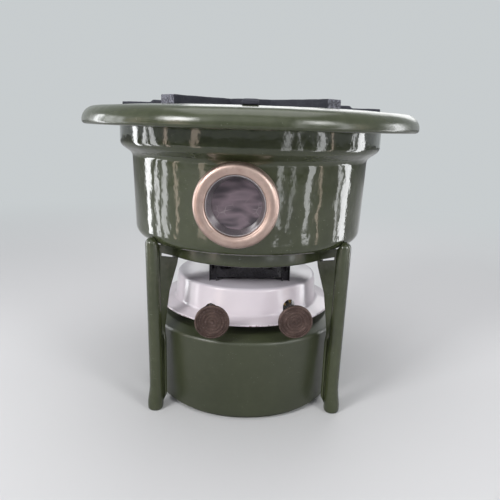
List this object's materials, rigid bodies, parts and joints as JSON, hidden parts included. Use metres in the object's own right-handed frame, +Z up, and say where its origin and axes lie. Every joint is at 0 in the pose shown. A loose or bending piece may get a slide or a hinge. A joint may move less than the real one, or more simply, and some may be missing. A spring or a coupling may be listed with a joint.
{
  "type": "kerosene cooking stove",
  "caption": "Enamelled wick-fed kerosene stove: round fuel tank with feed knobs, burner cover, legged stand, windowed drum with a broad rim, cast pan trivet on top.",
  "frame": {"origin": "centre of the stove at table level, under the middle of the rim", "axes": "+Z up; -Y is the front, with the knobs and, a few degrees to its left, the window; +X is to the right when the front is faced"},
  "size_m": [0.2506, 0.2506, 0.2304],
  "materials": {
    "green_enamel": "glossy vitreous enamel on steel",
    "white_enamel": "glossy vitreous enamel on steel",
    "black_enamel": "glossy black enamel on steel",
    "trivet_iron": "rough matte casting",
    "steel": "plain drawn steel",
    "brass": "tarnished",
    "bezel_copper": "satin, copper plated",
    "knob_bronze": "oxidised dark brown",
    "cork": "pressed cork",
    "wick_cotton": "woven cotton",
    "mica": "smoky mica sheet"
  },
  "bodies": {
    "tank": {"fuel_tank": "green_enamel", "tank_base": "green_enamel", "filler_neck": "brass", "burner_gasket": "cork", "burner_base": "black_enamel", "burner_screws": "steel", "spindle_bushes": "brass", "tube_bridge": "black_enamel", "wick_tube_left": "black_enamel", "wick_tube_right": "black_enamel"},
    "cap_seal": {"cap_washer": "cork"},
    "filler_cap": {"filler_cap": "brass"},
    "left_spindle": {"spindle_left": "steel", "feed_wheels_left": "steel", "knob_left": "knob_bronze"},
    "right_spindle": {"spindle_right": "steel", "feed_wheels_right": "steel", "knob_right": "knob_bronze"},
    "left_wick": {"wick_left": "wick_cotton"},
    "right_wick": {"wick_right": "wick_cotton"},
    "cover": {"burner_cover": "white_enamel", "flame_gallery": "black_enamel"},
    "flame_cap": {"flame_cap": "black_enamel"},
    "stand": {"leg_stand": "green_enamel"},
    "mantle": {"mantle_drum": "green_enamel", "rim_plate": "green_enamel", "spill_dish": "green_enamel", "inner_chimney": "black_enamel", "chimney_rivets": "steel", "window_bezel": "bezel_copper", "window_throat": "steel", "window_pane": "mica", "pane_clip": "steel", "window_nut": "steel"},
    "trivet": {"pan_trivet": "trivet_iron"}
  },
  "joints": [
    {"name": "cap_rise", "type": "slide", "parent": "tank", "child": "cap_seal", "axis": [0, 0, 1], "range_m": [0, 0.006]},
    {"name": "cap_turn", "type": "hinge", "parent": "cap_seal", "child": "filler_cap", "pos_m": [0.04459, 0.04015, 0.0705], "axis": [0, 0, 1], "range_deg": [0, 1080]},
    {"name": "left_turn", "type": "hinge", "parent": "tank", "child": "left_spindle", "pos_m": [-0.0287, -0.00241, 0.0807], "axis": [0.0837, -0.9965, 0], "range_deg": [-60, 150]},
    {"name": "left_rise", "type": "slide", "parent": "tank", "child": "left_wick", "axis": [0, 0, 1], "range_m": [-0.0044, 0.011]},
    {"name": "right_turn", "type": "hinge", "parent": "tank", "child": "right_spindle", "pos_m": [0.0287, 0.00241, 0.0807], "axis": [-0.0837, 0.9965, 0], "range_deg": [-60, 150]},
    {"name": "right_rise", "type": "slide", "parent": "tank", "child": "right_wick", "axis": [0, 0, 1], "range_m": [-0.0044, 0.011]},
    {"name": "cover_lift", "type": "slide", "parent": "tank", "child": "cover", "axis": [0, 0, 1], "range_m": [0, 0.03]},
    {"name": "flame_cap_lift", "type": "slide", "parent": "cover", "child": "flame_cap", "axis": [0, 0, 1], "range_m": [0, 0.035]},
    {"name": "stand_lift", "type": "slide", "parent": "tank", "child": "stand", "axis": [0, 0, 1], "range_m": [0, 0.16]},
    {"name": "mantle_lift", "type": "slide", "parent": "stand", "child": "mantle", "axis": [0, 0, 1], "range_m": [0, 0.1]},
    {"name": "trivet_lift", "type": "slide", "parent": "mantle", "child": "trivet", "axis": [0, 0, 1], "range_m": [0, 0.05]}
  ],
  "couplings": [
    {"joint": "cap_rise", "follows": "cap_turn", "m_per_rad": 0.0003183},
    {"joint": "left_rise", "follows": "left_turn", "m_per_rad": 0.0042},
    {"joint": "right_rise", "follows": "right_turn", "m_per_rad": 0.0042}
  ]
}
